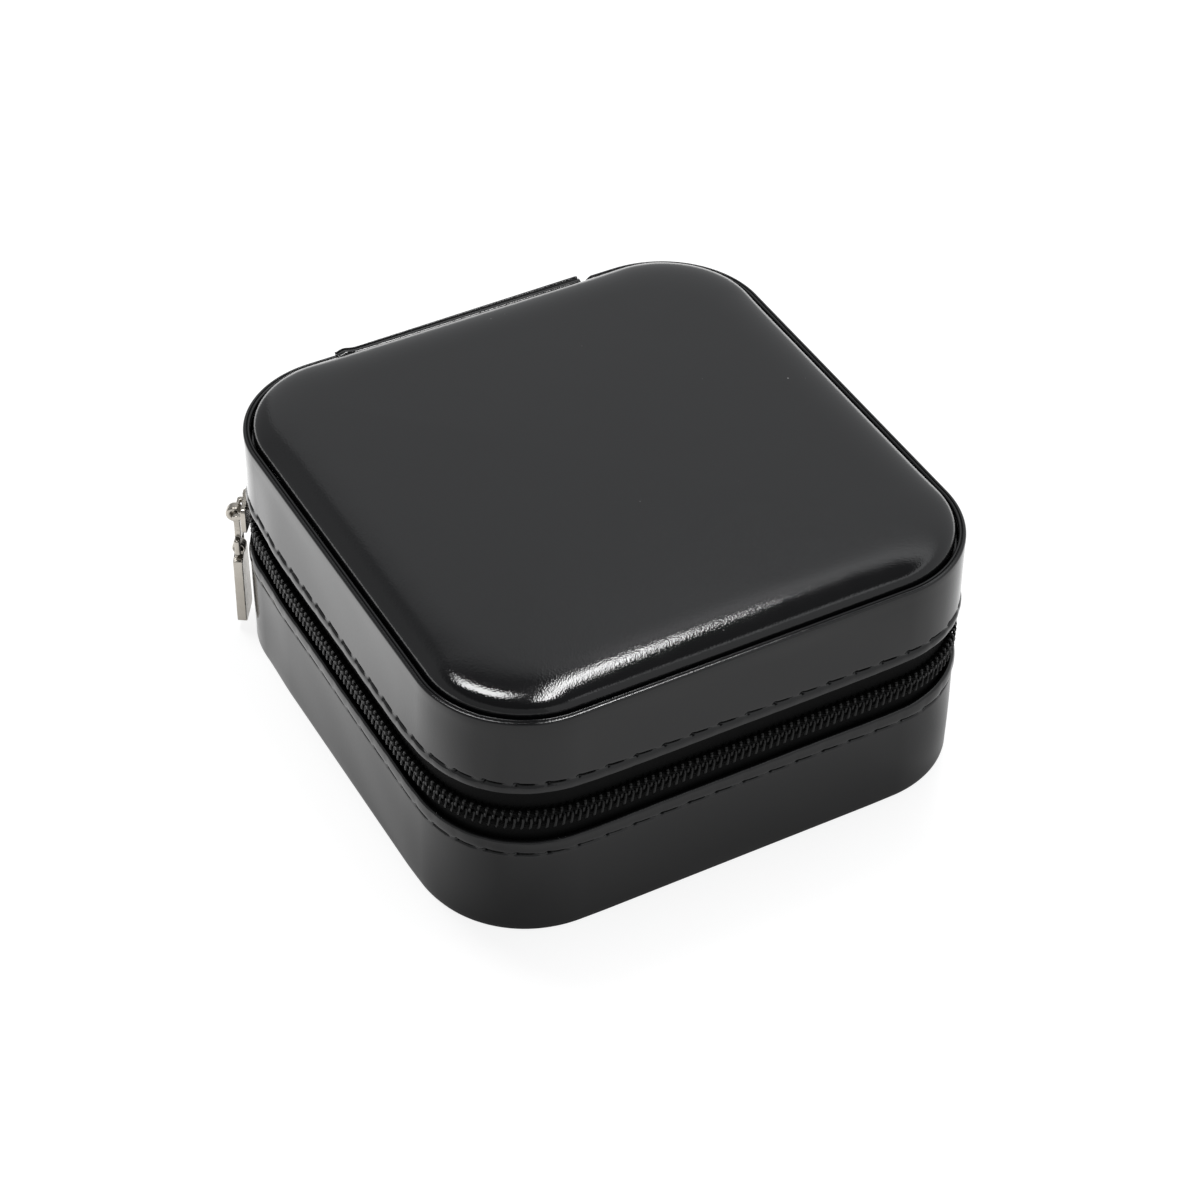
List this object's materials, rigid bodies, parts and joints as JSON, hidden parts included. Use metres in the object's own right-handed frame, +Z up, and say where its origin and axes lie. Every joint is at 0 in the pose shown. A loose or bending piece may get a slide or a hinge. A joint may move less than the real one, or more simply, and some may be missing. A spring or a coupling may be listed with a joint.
{
  "type": "travel jewellery case",
  "caption": "Square zip-around travel jewellery case in glossy black leather with rounded corners, padded top, velvet tray with ring rolls and a lid that folds back on a leather hinge.",
  "frame": {"origin": "centre of the case's outline on the table, at the underside", "axes": "+Z up, +Y towards the leather hinge at the back, +X to the right seen from the front"},
  "size_m": [0.1015, 0.1027, 0.05],
  "materials": {
    "leather": "glossy coated leather, near black, very fine grain",
    "velvet": "short-pile velvet, black",
    "board": "grey-brown fibre board, unseen inside the leather",
    "foam": "pale upholstery foam, unseen inside the padded top",
    "webbing": "woven polyester tape, black",
    "nylon": "moulded nylon coil, black, satin",
    "nickel": "polished warm nickel plating"
  },
  "bodies": {
    "base": {"base_bottom_cover": "leather", "base_bottom_board": "board", "base_wall_board": "board", "base_wall_leather": "leather", "base_lining": "velvet", "base_partition": "velvet", "ring_roll_1": "velvet", "ring_roll_2": "velvet", "ring_roll_3": "velvet", "ring_roll_4": "velvet", "ring_roll_5": "velvet", "ring_roll_6": "velvet", "zipper_tape_lower": "webbing", "zipper_coil_lower": "nylon", "zipper_stop_lower_left": "nickel", "zipper_stop_lower_right": "nickel", "hinge_strip_lower": "leather", "hinge_fold": "leather"},
    "lid": {"lid_wall_leather": "leather", "lid_wall_board": "board", "lid_top_board": "board", "lid_pad_leather": "leather", "lid_pad_foam": "foam", "lid_lining": "velvet", "necklace_strip": "leather", "snap_post_left": "nickel", "snap_post_middle": "nickel", "snap_post_right": "nickel", "lid_pocket": "velvet", "pocket_elastic": "webbing", "zipper_tape_upper": "webbing", "zipper_coil_upper": "nylon", "zipper_stop_upper_left": "nickel", "zipper_stop_upper_right": "nickel", "hinge_strip_upper": "leather"},
    "slider": {"slider_body": "nickel"},
    "pull_link": {"pull_link": "nickel"},
    "pull_tab": {"pull_tab": "nickel"},
    "divider_left": {"divider_left": "velvet"},
    "divider_right": {"divider_right": "velvet"},
    "necklace_tab_left": {"necklace_tab_left": "leather", "snap_cap_left": "nickel"},
    "necklace_tab_middle": {"necklace_tab_middle": "leather", "snap_cap_middle": "nickel"},
    "necklace_tab_right": {"necklace_tab_right": "leather", "snap_cap_right": "nickel"}
  },
  "joints": [
    {"name": "lid_hinge", "type": "hinge", "parent": "base", "child": "lid", "pos_m": [0, 0.05105, 0.0262], "axis": [-1, 0, 0], "range_deg": [0, 110]},
    {"name": "slider_travel", "type": "hinge", "parent": "base", "child": "slider", "pos_m": [-0.0308, 0.0317, 0.0255], "axis": [0, 0, 1], "range_deg": [-40, 30]},
    {"name": "link_swing", "type": "hinge", "parent": "slider", "child": "pull_link", "pos_m": [-0.04915, 0.04384, 0.0255], "axis": [0.5519, 0.8339, 0], "range_deg": [0, 120]},
    {"name": "tab_swing", "type": "hinge", "parent": "pull_link", "child": "pull_tab", "pos_m": [-0.0491, 0.04381, 0.0172], "axis": [0.5519, 0.8339, 0], "range_deg": [-5, 60]},
    {"name": "divider_left_lift", "type": "slide", "parent": "base", "child": "divider_left", "axis": [0, 0, 1], "range_m": [0, 0.015]},
    {"name": "divider_right_lift", "type": "slide", "parent": "base", "child": "divider_right", "axis": [0, 0, 1], "range_m": [0, 0.015]},
    {"name": "necklace_tab_left_open", "type": "hinge", "parent": "lid", "child": "necklace_tab_left", "pos_m": [-0.024, -0.038, 0.04065], "axis": [-1, 0, 0], "range_deg": [0, 100]},
    {"name": "necklace_tab_middle_open", "type": "hinge", "parent": "lid", "child": "necklace_tab_middle", "pos_m": [0, -0.038, 0.04065], "axis": [-1, 0, 0], "range_deg": [0, 100]},
    {"name": "necklace_tab_right_open", "type": "hinge", "parent": "lid", "child": "necklace_tab_right", "pos_m": [0.024, -0.038, 0.04065], "axis": [-1, 0, 0], "range_deg": [0, 100]}
  ]
}
